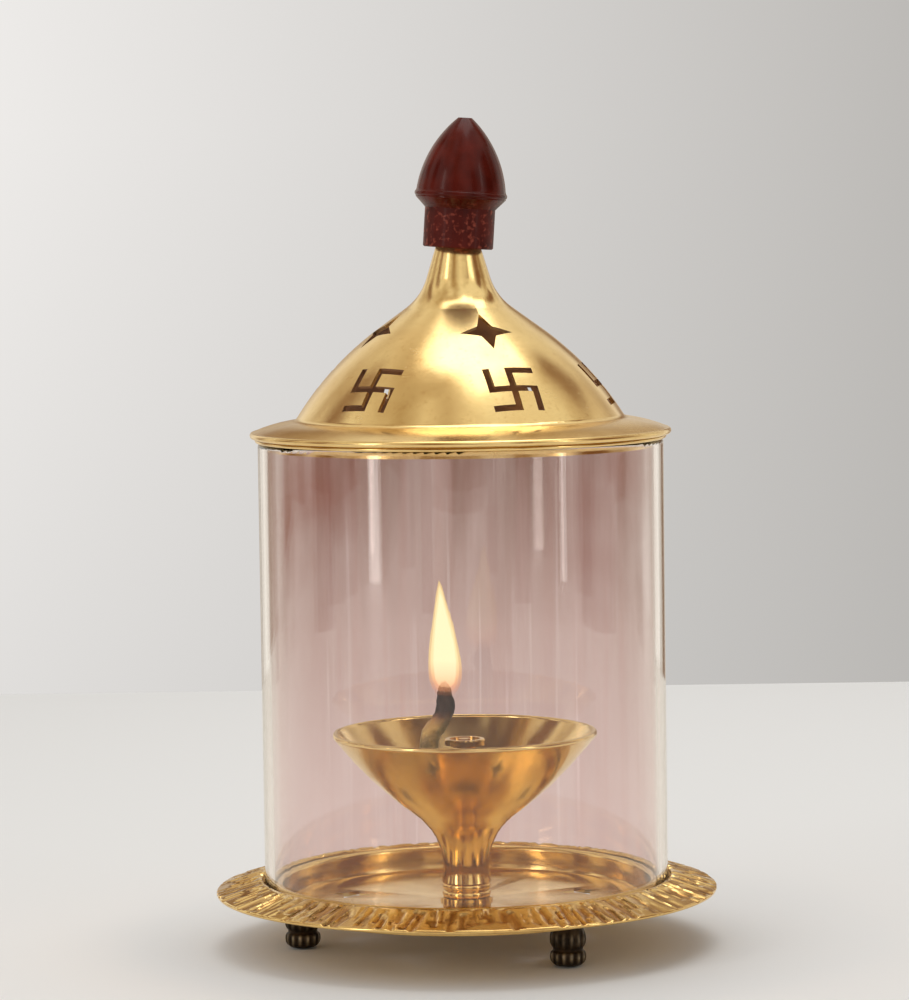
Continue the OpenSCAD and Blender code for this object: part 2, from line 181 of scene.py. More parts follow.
# Painted light: paler soft upright bands stand for folds catching the light.
fold_light_place = add_node(weave, "ShaderNodeVectorMath", {0: spot, 1: (110, 0, 14)}, operation="MULTIPLY")
painted_fold_light = add_node(weave, "ShaderNodeTexNoise", {"Vector": fold_light_place.outputs[0], "Scale": 1.0, "Detail": 4.0,
                                               "Distortion": 0.4}).outputs[0]
threads_place = add_node(weave, "ShaderNodeVectorMath", {0: spot, 1: (700, 0, 9)}, operation="MULTIPLY")
threads = add_node(weave, "ShaderNodeTexNoise", {"Vector": threads_place.outputs[0], "Scale": 1.0,
                                                 "Detail": 2.0}).outputs[0]
reflection_patches = add_node(weave, "ShaderNodeTexNoise", {"Vector": spot, "Scale": 24.0, "Detail": 2.0}).outputs[0]
parts = add_node(weave, "ShaderNodeSeparateXYZ", {0: spot}).outputs
aside = remap(weave, maths(weave, "ABSOLUTE", parts["X"]), 0.020, 0.045)
mauve = blend_colours(weave, remap(weave, parts["Z"], 0.02, 0.075), (0.66, 0.49, 0.45, 1),
                      (0.50, 0.35, 0.31, 1))
mauve = blend_colours(weave, remap(weave, parts["Z"], 0.070, 0.118), mauve, (0.27, 0.165, 0.135, 1))
mauve = blend_colours(weave, remap(weave, painted_fold_light, 0.38, 0.72, 0.0, 0.45), mauve, (0.74, 0.60, 0.56, 1))
mauve = blend_colours(weave, remap(weave, threads, 0.62, 0.80, 0.0, 0.5), mauve, (0.86, 0.76, 0.73, 1))
# Painted reflection: a dark red-brown flush high up near both sides of the glass.
high = remap(weave, parts["Z"], 0.055, 0.105)
painted_reflection = maths(weave, "MULTIPLY", maths(weave, "MULTIPLY", aside, high), remap(weave, reflection_patches, 0.40, 0.62))
mauve = blend_colours(weave, maths(weave, "MULTIPLY", painted_reflection, 0.85), mauve, (0.24, 0.055, 0.030, 1))
cloth = weave.nodes["Principled BSDF"]
weave.links.new(mauve, cloth.inputs["Emission Color"])
cloth.inputs["Emission Strength"].default_value = 1.0
cloth.inputs["Specular IOR Level"].default_value = 0.0
bounced = maths(weave, "MINIMUM", add_node(weave, "ShaderNodeLightPath").outputs["Glossy Depth"], 1.0)
unseen = add_node(weave, "ShaderNodeBsdfTransparent")
mixed = add_node(weave, "ShaderNodeMixShader", {0: bounced, 1: cloth.outputs[0], 2: unseen.outputs[0]})
weave.links.new(mixed.outputs[0], weave.nodes["Material Output"].inputs["Surface"])


def soft_panel(name, place, aim, width, height, power, colour):
    """A rectangular soft light at a place, aimed at a point."""
    data = bpy.data.lights.new(name, "AREA")
    data.shape, data.size, data.size_y = "RECTANGLE", width, height
    data.energy, data.color = power, colour
    panel = bpy.data.objects.new(name, data)
    direction = (Vector(aim) - Vector(place)).to_track_quat("-Z", "Y")
    panel.matrix_world = Matrix.Translation(place) @ direction.to_matrix().to_4x4()
    bpy.context.scene.collection.objects.link(panel)


MIDDLE = (0, 0, 0.1)
soft_panel("panel_left", (-0.72, -0.62, 0.35), MIDDLE, 0.12, 0.8, 1.1, (1, 0.97, 0.92))
soft_panel("panel_right", (0.80, -0.50, 0.35), MIDDLE, 0.05, 0.8, 0.5, (1, 0.97, 0.92))
soft_panel("panel_top", (0.1, 0.15, 1.1), MIDDLE, 0.7, 0.7, 3.5, (1, 1, 1))
print(len(stage_objects), "stage pieces and 3 panels")

# %% Wall and room light
world = bpy.data.worlds.new("room")
bpy.context.scene.world = world
world.use_nodes = True
sky = world.node_tree
sky.nodes.clear()
direction = add_node(sky, "ShaderNodeTexCoord").outputs["Generated"]
aims = add_node(sky, "ShaderNodeSeparateXYZ", {0: direction}).outputs
height = aims["Z"]
wall = blend_colours(sky, remap(sky, aims["X"], -0.12, 0.12), (0.86, 0.84, 0.82, 1),
                     (0.50, 0.485, 0.465, 1))
wall = blend_colours(sky, remap(sky, height, 0.02, -0.14, 0.0, 0.3), wall, (0.45, 0.44, 0.425, 1))
bands_place = add_node(sky, "ShaderNodeVectorMath", {0: direction, 1: (2.6, 2.6, 0.6)},
                       operation="MULTIPLY")
bands = add_node(sky, "ShaderNodeTexNoise", {"Vector": bands_place.outputs[0], "Scale": 1.0,
                                             "Detail": 2.0}).outputs[0]
room = blend_colours(sky, remap(sky, bands, 0.40, 0.60), (0.22, 0.11, 0.045, 1), (0.95, 0.90, 0.80, 1))
ceiling = blend_colours(sky, remap(sky, bands, 0.36, 0.56), (0.40, 0.27, 0.13, 1), (0.95, 0.90, 0.80, 1))
room = blend_colours(sky, remap(sky, height, 0.25, 0.6), room, ceiling)
glossy = maths(sky, "MINIMUM", add_node(sky, "ShaderNodeLightPath").outputs["Glossy Depth"], 1.0)
seen = blend_colours(sky, glossy, wall, room)
backdrop = add_node(sky, "ShaderNodeBackground", {"Color": seen, "Strength": 1.0})
add_node(sky, "ShaderNodeOutputWorld", {"Surface": backdrop.outputs[0]})
bpy.context.scene.view_settings.view_transform = "Standard"
print("world has", len(sky.nodes), "nodes")

# %% [markdown]
# Every finish on this lamp shares a few effects, so each is made once as a node group. Brass that was spun
# or turned on a lathe carries fine rings round its axis. Old brass is not one colour: thin tarnish lies over
# it in clouds, and handling leaves it duller in patches. A group only puts out values and colours, and the
# shader itself stays in each material.

# %% Shared effects
def new_group(name, inputs, outputs):
    """An empty shader group with named sockets, and its first and last nodes."""
    tree = bpy.data.node_groups.new(name, "ShaderNodeTree")
    for socket, kind, value in inputs:
        made = tree.interface.new_socket(name=socket, in_out="INPUT", socket_type=kind)
        made.default_value = value
    for socket, kind in outputs:
        tree.interface.new_socket(name=socket, in_out="OUTPUT", socket_type=kind)
    return tree, add_node(tree, "NodeGroupInput"), add_node(tree, "NodeGroupOutput")


def distance_from_axis(tree, place):
    parts = add_node(tree, "ShaderNodeSeparateXYZ", {0: place}).outputs
    squares = maths(tree, "ADD", maths(tree, "MULTIPLY", parts["X"], parts["X"]),
                    maths(tree, "MULTIPLY", parts["Y"], parts["Y"]))
    return maths(tree, "SQRT", squares), parts["Z"]


FLOAT, COLOUR = "NodeSocketFloat", "NodeSocketColor"

lathe, lathe_in, lathe_out = new_group(
    "lathe_rings", [("Rings per metre", FLOAT, 2500.0), ("Waver", FLOAT, 0.3)], [("Height", FLOAT)])
spot = add_node(lathe, "ShaderNodeTexCoord").outputs["Object"]
out_from_axis, level = distance_from_axis(lathe, spot)
waver = add_node(lathe, "ShaderNodeTexNoise", {"Vector": spot, "Scale": 25.0, "Detail": 1.0}).outputs[0]
shift = maths(lathe, "MULTIPLY", waver, lathe_in.outputs["Waver"])
ring_place = add_node(lathe, "ShaderNodeCombineXYZ", {
    0: maths(lathe, "ADD", maths(lathe, "MULTIPLY", out_from_axis, lathe_in.outputs[0]), shift),
    1: maths(lathe, "MULTIPLY", level, lathe_in.outputs[0])}).outputs[0]
rings = add_node(lathe, "ShaderNodeTexNoise", {"Vector": ring_place, "Scale": 1.0, "Detail": 3.0,
                                               "Roughness": 0.6}).outputs[0]
lathe.links.new(rings, lathe_out.inputs["Height"])

tarnish, tarnish_in, tarnish_out = new_group(
    "tarnish", [("Clean", COLOUR, (0.9, 0.6, 0.25, 1)), ("Dull", COLOUR, (0.5, 0.25, 0.08, 1)),
                ("Amount", FLOAT, 0.5), ("Cloud size", FLOAT, 45.0)],
    [("Color", COLOUR), ("Mask", FLOAT)])
spot = add_node(tarnish, "ShaderNodeTexCoord").outputs["Object"]
clouds = add_node(tarnish, "ShaderNodeTexNoise", {"Vector": spot, "Scale": tarnish_in.outputs["Cloud size"],
                                                  "Detail": 6.0, "Roughness": 0.62}).outputs[0]
specks = add_node(tarnish, "ShaderNodeTexNoise", {"Vector": spot, "Scale": 900.0, "Detail": 2.0}).outputs[0]
cloudy = remap(tarnish, clouds, 0.42, 0.72)
speckled = maths(tarnish, "MULTIPLY", remap(tarnish, specks, 0.58, 0.75), 0.6)
covered = maths(tarnish, "MULTIPLY", maths(tarnish, "ADD", cloudy, speckled), tarnish_in.outputs["Amount"])
covered = maths(tarnish, "MINIMUM", covered, 1.0)
tarnish.links.new(covered, tarnish_out.inputs["Mask"])
tarnish.links.new(blend_colours(tarnish, covered, tarnish_in.outputs["Clean"], tarnish_in.outputs["Dull"]),
                  tarnish_out.inputs["Color"])

handling, handling_in, handling_out = new_group(
    "handling", [("Polished", FLOAT, 0.1), ("Handled", FLOAT, 0.3), ("Patch size", FLOAT, 60.0)],
    [("Roughness", FLOAT)])
spot = add_node(handling, "ShaderNodeTexCoord").outputs["Object"]
patch = add_node(handling, "ShaderNodeTexNoise", {"Vector": spot, "Scale": handling_in.outputs["Patch size"],
                                                  "Detail": 5.0, "Distortion": 0.4}).outputs[0]
scratch_place = add_node(handling, "ShaderNodeVectorMath", {0: spot, 1: (400, 400, 3000)},
                         operation="MULTIPLY").outputs[0]
scratches = add_node(handling, "ShaderNodeTexNoise", {"Vector": scratch_place, "Scale": 1.0}).outputs[0]
worn = maths(handling, "ADD", remap(handling, patch, 0.35, 0.75),
             remap(handling, scratches, 0.55, 0.8, 0.0, 0.35))
roughness = add_node(handling, "ShaderNodeMapRange", {
    "Value": worn, "To Min": handling_in.outputs["Polished"], "To Max": handling_in.outputs["Handled"]})
handling.links.new(roughness.outputs[0], handling_out.inputs["Roughness"])
print("groups:", [g.name for g in bpy.data.node_groups])

# %% [markdown]
# Brass is copper and zinc. Its colour lives in its reflection, so the shader is fully metallic and the colour
# comes from the tarnish group. The same recipe serves the sheet of lid, bowl and plate, and the turned rod of
# stem and wick holder, with more or fewer rings and a redder or paler clean colour.

# %% Brass finishes
def start_material(name):
    finish = bpy.data.materials.new(name)
    finish.use_nodes = True
    tree = finish.node_tree
    return finish, tree, tree.nodes["Principled BSDF"]


def use_group(tree, name, inputs):
    made = add_node(tree, "ShaderNodeGroup", node_tree=bpy.data.node_groups[name])
    for key, value in inputs.items():
        made.inputs[key].default_value = value
    return made


def brass(name, clean, dull, amount, polished, handled, rings, ring_depth, cloud=45.0):
    """Metal with tarnish, handling and lathe rings. Ring depth is in metres."""
    finish, tree, shader = start_material(name)
    colour = use_group(tree, "tarnish", {"Clean": (*clean, 1), "Dull": (*dull, 1), "Amount": amount,
                                         "Cloud size": cloud})
    wear = use_group(tree, "handling", {"Polished": polished, "Handled": handled})
    turned = use_group(tree, "lathe_rings", {"Rings per metre": rings})
    dent = add_node(tree, "ShaderNodeBump", {"Height": turned.outputs[0], "Distance": ring_depth,
                                             "Strength": 1.0})
    tree.links.new(colour.outputs["Color"], shader.inputs["Base Color"])
    tree.links.new(wear.outputs[0], shader.inputs["Roughness"])
    tree.links.new(dent.outputs[0], shader.inputs["Normal"])
    shader.inputs["Metallic"].default_value = 1.0
    return finish


CLEAN_SHEET, DULL_SHEET = (0.88, 0.66, 0.30), (0.66, 0.40, 0.13)
CLEAN_ROD, DULL_ROD = (0.88, 0.62, 0.24), (0.60, 0.34, 0.10)
lid_brass = brass("lid_brass", CLEAN_SHEET, DULL_SHEET, 0.5, 0.17, 0.30, 1800, 2.5e-6)
bowl_brass = brass("bowl_brass", CLEAN_SHEET, DULL_SHEET, 0.55, 0.12, 0.26, 2200, 2.5e-6)
plate_brass = brass("plate_brass", (0.87, 0.63, 0.26), (0.52, 0.29, 0.09), 0.65, 0.10, 0.26, 1500, 2e-6)
rod_brass = brass("rod_brass", CLEAN_ROD, DULL_ROD, 0.5, 0.10, 0.24, 2600, 4e-6)
steel = brass("plain_steel", (0.62, 0.61, 0.59), (0.32, 0.29, 0.26), 0.6, 0.22, 0.42, 2500, 3e-6)
print("brass finishes:", [m.name for m in bpy.data.materials if "brass" in m.name])

# %% [markdown]
# Two of the brass finishes need one thing more. The lid's inside is painted dark brown as shade, and only
# there: on faces under the dome that look inwards or down. On the plate's rim the hammer's hollows hold a
# darker tarnish, and the ridges between them are rubbed bright. How deep each point was struck is kept on the
# mesh.

# %% Painted shade inside the lid
tree = lid_brass.node_tree
shader = tree.nodes["Principled BSDF"]
lookup = add_node(tree, "ShaderNodeTexCoord").outputs
out_from_axis, level = distance_from_axis(tree, lookup["Object"])
looking = add_node(tree, "ShaderNodeSeparateXYZ", {0: lookup["Normal"]}).outputs
inwards = add_node(tree, "ShaderNodeVectorMath", {0: lookup["Normal"], 1: lookup["Object"]},
                   operation="DOT_PRODUCT").outputs["Value"]
radial = maths(tree, "SUBTRACT", inwards, maths(tree, "MULTIPLY", looking["Z"], level))
# Painted shade: faces under the dome that look inwards or down are coloured dark brown, mottled by noise, and
# made rougher and less metallic.
inside = maths(tree, "MAXIMUM", remap(tree, radial, -2 * MM, -6 * MM),
               remap(tree, looking["Z"], -0.3, -0.6))
inside = maths(tree, "MULTIPLY", inside, remap(tree, out_from_axis, 41 * MM, 40 * MM))
tone_blend = add_node(tree, "ShaderNodeTexNoise", {"Vector": lookup["Object"], "Scale": 90.0,
                                              "Detail": 4.0}).outputs[0]
painted_shade = blend_colours(tree, remap(tree, tone_blend, 0.35, 0.7), (0.13, 0.055, 0.025, 1), (0.30, 0.15, 0.06, 1))
gold = shader.inputs["Base Color"].links[0].from_socket
tree.links.new(blend_colours(tree, inside, gold, painted_shade), shader.inputs["Base Color"])
shine = shader.inputs["Roughness"].links[0].from_socket
tree.links.new(maths(tree, "ADD", shine, maths(tree, "MULTIPLY", inside, 0.35)), shader.inputs["Roughness"])
tree.links.new(remap(tree, inside, 0.0, 1.0, 1.0, 0.55), shader.inputs["Metallic"])
print("lid has soot")

# %% Tarnish in the beaten rim
tree = plate_brass.node_tree
shader = tree.nodes["Principled BSDF"]
blow = add_node(tree, "ShaderNodeAttribute", attribute_name="beaten").outputs["Fac"]
out_from_axis = distance_from_axis(tree, add_node(tree, "ShaderNodeTexCoord").outputs["Object"])[0]
on_rim = remap(tree, out_from_axis, 51.5 * MM, 53 * MM)
hollow = maths(tree, "MULTIPLY", remap(tree, blow, 0.08, 0.45), on_rim)
gold = shader.inputs["Base Color"].links[0].from_socket
amber = blend_colours(tree, maths(tree, "MULTIPLY", hollow, 0.75), gold, (0.34, 0.13, 0.02, 1))
tree.links.new(amber, shader.inputs["Base Color"])
print("rim has tarnish")

# %% [markdown]
# The chimney is a plain blown tube with a faint rose tint. The tint is stronger towards the top, where smoke
# has settled, and drawn lines run up the glass. Light has to reach the bowl through it, so shadow rays pass
# straight through with the same tint.

# %% Glass finish
glass_low, glass_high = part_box("glass_chimney")
chimney, tree, shader = start_material("rose_glass")
spot = add_node(tree, "ShaderNodeTexCoord").outputs["Object"]
level = add_node(tree, "ShaderNodeSeparateXYZ", {0: spot}).outputs["Z"]
streak_place = add_node(tree, "ShaderNodeVectorMath", {0: spot, 1: (260, 260, 6)}, operation="MULTIPLY")
streaks = add_node(tree, "ShaderNodeTexNoise", {"Vector": streak_place.outputs[0], "Detail": 3.0,
                                                "Scale": 1.0}).outputs[0]
tone_blend = remap(tree, level, glass_low.z + 0.03, glass_high.z)
tint = blend_colours(tree, tone_blend, (0.975, 0.95, 0.945, 1), (0.94, 0.90, 0.89, 1))
tint = blend_colours(tree, remap(tree, streaks, 0.55, 0.75), tint, (0.95, 0.85, 0.83, 1))
tree.links.new(tint, shader.inputs["Base Color"])
shader.inputs["Transmission Weight"].default_value = 1.0
shader.inputs["IOR"].default_value = 1.46
shader.inputs["Roughness"].default_value = 0.015
drawn = add_node(tree, "ShaderNodeBump", {"Height": streaks, "Distance": 2e-5, "Strength": 1.0})
tree.links.new(drawn.outputs[0], shader.inputs["Normal"])
path = add_node(tree, "ShaderNodeLightPath").outputs
passing = maths(tree, "MAXIMUM", path["Is Shadow Ray"], path["Is Diffuse Ray"])
clear = add_node(tree, "ShaderNodeBsdfTransparent", {"Color": tint})
mixed = add_node(tree, "ShaderNodeMixShader", {0: passing, 1: shader.outputs[0], 2: clear.outputs[0]})
tree.links.new(mixed.outputs[0], tree.nodes["Material Output"].inputs["Surface"])
print("glass from", round(glass_low.z / MM, 1), "to", round(glass_high.z / MM, 1), "mm")

# %% [markdown]
# The knob is turned and lacquered in a maroon so dark that it looks black away from the light. Its pointed
# top has a soft gloss from handling. Its collar, which fingers don't reach, is rough and specked with red.

# %% Knob finish
knob_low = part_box("knob")[0]
maroon, tree, shader = start_material("knob_maroon")
spot = add_node(tree, "ShaderNodeTexCoord").outputs["Object"]
level = add_node(tree, "ShaderNodeSeparateXYZ", {0: spot}).outputs["Z"]
COLLAR_H = 11
collar_end = knob_low.z + COLLAR_H * MM
collar = remap(tree, level, collar_end + 1 * MM, collar_end - 1 * MM)
pits = add_node(tree, "ShaderNodeTexNoise", {"Vector": spot, "Scale": 700.0, "Detail": 4.0}).outputs[0]
grain = add_node(tree, "ShaderNodeTexNoise", {"Vector": spot, "Scale": 160.0, "Detail": 5.0}).outputs[0]
body = blend_colours(tree, remap(tree, grain, 0.35, 0.7), (0.050, 0.0025, 0.0012, 1),
                     (0.105, 0.008, 0.0035, 1))
specked = blend_colours(tree, remap(tree, pits, 0.55, 0.68), body, (0.30, 0.06, 0.035, 1))
collar_colour = blend_colours(tree, maths(tree, "MULTIPLY", collar, 0.75), body, specked)
tree.links.new(collar_colour, shader.inputs["Base Color"])
dullness = maths(tree, "ADD", remap(tree, grain, 0.3, 0.75, 0.16, 0.30),
                 maths(tree, "MULTIPLY", collar, 0.28))
tree.links.new(dullness, shader.inputs["Roughness"])
pitted = maths(tree, "MULTIPLY", maths(tree, "ADD", maths(tree, "MULTIPLY", collar, 0.9), 0.1), pits)
dent = add_node(tree, "ShaderNodeBump", {"Height": pitted, "Distance": 1.2e-4, "Strength": 0.8})
tree.links.new(dent.outputs[0], shader.inputs["Normal"])
shader.inputs["Specular IOR Level"].default_value = 0.14
shader.inputs["Coat Weight"].default_value = 0.06
shader.inputs["Coat Roughness"].default_value = 0.1
print("knob collar ends at", round(collar_end / MM, 1), "mm")

# %% [markdown]
# The lid, bowl, stem, holder, glass, knob and fasteners keep the shape of the working model, with its true
# curves, and take these finishes.

# %% Dress the kept pieces
FINISHES = {
    "stem": rod_brass, "bowl": bowl_brass, "wick_holder": rod_brass, "centre_bolt": rod_brass,
    "centre_washer": steel, "centre_nut": steel, "foot_screws": rod_brass, "lid_dome": lid_brass,
    "lid_collar": lid_brass, "knob_screw": steel, "knob_washer": steel, "glass_chimney": chimney,
    "knob": maroon,
}
for name, finish in FINISHES.items():
    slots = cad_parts[name].data.materials
    slots.clear()
    slots.append(finish)
print(len(FINISHES), "kept pieces dressed")

# %% [markdown]
# The turned pieces that are made anew start as one half outline, which a spin carries round the axis, as a
# lathe does with a bar. Corners of the outline are rounded first, so that every edge catches a line of light.

# %% Lathe helpers
def between(start, end, count):
    """Points on the straight line from start to end, both ends included."""
    return [tuple(Vector(start).lerp(Vector(end), i / (count - 1))) for i in range(count)]


def rounded(outline, radius):
    """The outline in (distance out, height), with each inner corner cut to a small curve of three points."""
    result = [outline[0]]
    for before, corner, after in zip(outline, outline[1:], outline[2:]):
        p = Vector(corner)
        back, on = Vector(before) - p, Vector(after) - p
        if math.pi - back.angle(on) < math.radians(12):
            result.append(corner)
            continue
        a, b = (p + side * (min(radius, 0.4 * side.length) / side.length) for side in (back, on))
        result += [tuple(a), tuple((a + b) / 4 + p / 2), tuple(b)]
    return result + [outline[-1]]


def turned(outline, steps):
    """A bmesh spun from an outline in millimetres, shut on the axis."""
    bm = bmesh.new()
    chain = [bm.verts.new((out * MM, 0, up * MM)) for out, up in outline]
    wire = [bm.edges.new(pair) for pair in zip(chain, chain[1:])]
    bmesh.ops.spin(bm, geom=chain + wire, cent=(0, 0, 0), axis=(0, 0, 1), angle=2 * math.pi, steps=steps,
                   use_merge=True)
    bmesh.ops.remove_doubles(bm, verts=bm.verts, dist=1e-6)
    bmesh.ops.recalc_face_normals(bm, faces=bm.faces)
    return bm


def to_piece(bm, name, body, finish, replaced=()):
    """The finished piece: smooth, with sharp edges kept, riding on its body."""
    for face in bm.faces:
        face.smooth = True
    for edge in bm.edges:
        edge.smooth = not (edge.is_manifold and edge.calc_face_angle() > math.radians(32))
    mesh = bpy.data.meshes.new(name)
    bm.to_mesh(mesh)
    bm.free()
    mesh.materials.append(finish)
    piece = bpy.data.objects.new(name, mesh)
    bpy.context.scene.collection.objects.link(piece)
    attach(piece, body)
    if replaced:
        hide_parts(*replaced)
    print(name, "has", len(mesh.polygons), "faces")
    return piece


# %% [markdown]
# The plate is spun from one sheet: a sunk floor, a rolled gallery ring that keeps the glass in place, the
# groove that the glass stands in, and a rim that slopes down to a thin rolled edge. The rim is struck all
# round with a narrow hammer, so it breaks up into short radial facets. Each blow is a shallow trough with
# its own place, length and depth, pressed into the spun mesh.

# %% Base plate
random.seed(11)
plate_low, plate_high = (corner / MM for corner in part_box("base_plate"))
PLATE_R, UNDER, CREST = plate_high.x, plate_low.z, plate_high.z
SHEET = 1.0
SEAT = glass_low.z / MM
EDGE = SEAT - 1.0
GLASS_R = glass_high.x / MM
SEAT_OUT, SEAT_IN, FLOOR_R = GLASS_R + 0.6, GLASS_R - 2.7, 45.6
FLOOR_TOP = UNDER + SHEET
GALLERY = EDGE + 3.2
GALLERY_R = (SEAT_IN - FLOOR_R) / 2 + 0.15
SLOPE_TOP, SLOPE_END = (SEAT_OUT + 0.9, CREST - 0.02), (PLATE_R - 0.35, EDGE + 0.46)

gallery_middle = ((SEAT_IN + FLOOR_R) / 2, GALLERY - GALLERY_R)
gallery = [(gallery_middle[0] + GALLERY_R * math.cos(a), gallery_middle[1] + GALLERY_R * math.sin(a))
           for a in (math.radians(18 * i) for i in range(11))]
ROLL_R = 0.5
edge_roll = [(PLATE_R - ROLL_R + ROLL_R * math.cos(a), EDGE + ROLL_R * math.sin(a))
             for a in (math.radians(-70 + 20 * i) for i in range(8))]
plate_outline = rounded(
    [(0, UNDER), (FLOOR_R + SHEET, UNDER), (FLOOR_R + SHEET, SEAT - SHEET), (SEAT_OUT + SHEET, SEAT - SHEET),
     (SEAT_OUT + SHEET, CREST - SHEET)], 0.4)
plate_outline += edge_roll + between(SLOPE_END, SLOPE_TOP, 18)
plate_outline += rounded(
    [(SEAT_OUT + 0.3, CREST - 0.15), (SEAT_OUT, CREST - 0.6), (SEAT_OUT, SEAT), (SEAT_IN, SEAT),
     (SEAT_IN, gallery_middle[1])], 0.25)
plate_outline += gallery[1:] + rounded(
    [(FLOOR_R, gallery_middle[1] - 0.3), (FLOOR_R, FLOOR_TOP), (0, FLOOR_TOP)], 0.7)
plate = turned(plate_outline, 720)
beaten = plate.verts.layers.float.new("beaten")

rim = [v for v in plate.verts if v.co.xy.length > (SEAT_OUT + 0.1) * MM and v.co.z > (EDGE - 0.2) * MM
       and v.co.z > (CREST - SHEET - 2.6 - (v.co.xy.length / MM - SEAT_OUT) * 0.1) * MM]
top_side = [v for v in rim if v.normal.z > 0.3]
out = np.array([v.co.xy.length for v in top_side]) / MM
azimuth = np.array([math.atan2(v.co.y, v.co.x) for v in top_side])
pressed = np.zeros(len(top_side))
BLOWS, FADE = 420, 0.8
for blow in range(BLOWS):
    where = 2 * math.pi * (blow + random.uniform(-1.5, 1.5)) / BLOWS
    near, far = random.uniform(49.5, 57), random.uniform(56, 64)
    half_width, depth = random.uniform(0.4, 1.3), random.uniform(0.15, 0.6)
    skew = random.uniform(-0.16, 0.16)
    turn = (azimuth - where + math.pi) % (2 * math.pi) - math.pi
    across = (turn * out + skew * (out - 56)) / half_width
    along = np.clip((out - near) / FADE, 0, 1) * np.clip((far - out) / FADE, 0, 1)
    trough = np.clip(1 - np.abs(across) ** 1.6, 0, 1) * along * depth
    pressed = np.maximum(pressed, trough)
for vert, push in zip(top_side, pressed):
    vert.co.z -= push * MM
    vert[beaten] = push
print("rim: pressed", len(top_side), "points, deepest", round(float(pressed.max()), 2), "mm")

# %% [markdown]
# Air reaches the flame through five four-pointed stars cut in the floor, and three feet are held by
# countersunk screws. Each hole is a closed cutter, and one boolean takes them all out of the plate. The
# cutters are thrown away afterwards.

# %% Cut the plate
VENTS, VENT_RING, STAR_W, STAR_WAIST = 5, 30.5, 11.0, 0.4
FOOT_RING, FEET = 41.0, {"foot_front": 36, "foot_back": 156, "foot_left": 276}


def around(angle, distance, up=0.0):
    """Moves to a place at an angle from the front towards +X."""
    turn = Matrix.Rotation(math.radians(angle - 90), 4, "Z")
    return turn @ Matrix.Translation((distance * MM, 0, up * MM))


cutter = bmesh.new()
for i in range(VENTS):
    made = bmesh.ops.create_circle(cutter, segments=8, radius=STAR_W / 2 * MM, cap_ends=True)["verts"]
    for k, vert in enumerate(made):
        vert.co *= STAR_WAIST if k % 2 else 1
    faces = list({f for v in made for f in v.link_faces})
    walls = bmesh.ops.extrude_face_region(cutter, geom=faces)["geom"]
    raised = [g for g in walls if isinstance(g, bmesh.types.BMVert)]
    bmesh.ops.translate(cutter, vec=(0, 0, 3 * SHEET * MM), verts=raised)
    seat = around(36 + 360 / VENTS * i, VENT_RING, UNDER - SHEET)
    bmesh.ops.transform(cutter, matrix=seat, verts=made + raised)
for angle in FEET.values():
    bmesh.ops.create_cone(cutter, cap_ends=True, segments=32, radius1=1.3 * MM, radius2=2.4 * MM,
                          depth=(SHEET + 0.02) * MM, matrix=around(angle, FOOT_RING, UNDER + SHEET / 2))
bmesh.ops.recalc_face_normals(cutter, faces=cutter.faces)


def cut_out(bm, tool):
    """The bmesh with the tool's closed shapes taken away. Both are used up."""
    pair = []
    for source, name in ((bm, "work"), (tool, "tool")):
        mesh = bpy.data.meshes.new(name)
        source.to_mesh(mesh)
        source.free()
        pair.append(bpy.data.objects.new(name, mesh))
        bpy.context.scene.collection.objects.link(pair[-1])
    cut = pair[0].modifiers.new("cut", "BOOLEAN")
    cut.object, cut.solver, cut.operation = pair[1], "EXACT", "DIFFERENCE"
    solid = pair[0].evaluated_get(bpy.context.evaluated_depsgraph_get())
    result = bmesh.new()
    result.from_mesh(solid.to_mesh())
    for thing in pair:
        bpy.data.objects.remove(thing)
    return result


plate = cut_out(plate, cutter)
to_piece(plate, "hammered_plate", "base", plate_brass, ["base_plate"])

# %% [markdown]
# The three feet are small cast turnings of dark bronze: a fluted drum, a waist, a shorter fluted drum and a
# domed end. The ridges of the fluting are rubbed brighter than the hollows, and that brightness is also a
# painted highlight, strongest on the lower drum. It is kept on the mesh as an attribute for the finish to
# read.

# %% Foot finish
bronze, tree, shader = start_material("dark_bronze")
rub_and_highlight = add_node(tree, "ShaderNodeAttribute", attribute_name="rub_and_highlight").outputs["Fac"]
spot = add_node(tree, "ShaderNodeTexCoord").outputs["Object"]
mottle = add_node(tree, "ShaderNodeTexNoise", {"Vector": spot, "Scale": 500.0, "Detail": 4.0}).outputs[0]
dark = blend_colours(tree, remap(tree, mottle, 0.35, 0.7), (0.018, 0.012, 0.008, 1), (0.06, 0.04, 0.024, 1))
# Wear and painted highlight: the ridges are paler and glossier, standing in for light caught by the fluting.
rubbed_and_highlit = maths(tree, "MULTIPLY", rub_and_highlight, remap(tree, mottle, 0.3, 0.6, 0.35, 1.0))
tree.links.new(blend_colours(tree, rubbed_and_highlit, dark, (0.50, 0.42, 0.30, 1)), shader.inputs["Base Color"])
tree.links.new(remap(tree, rubbed_and_highlit, 0.0, 1.0, 0.46, 0.26), shader.inputs["Roughness"])
cast = add_node(tree, "ShaderNodeBump", {"Height": mottle, "Distance": 1e-4, "Strength": 0.5})
tree.links.new(cast.outputs[0], shader.inputs["Normal"])
shader.inputs["Metallic"].default_value = 0.9

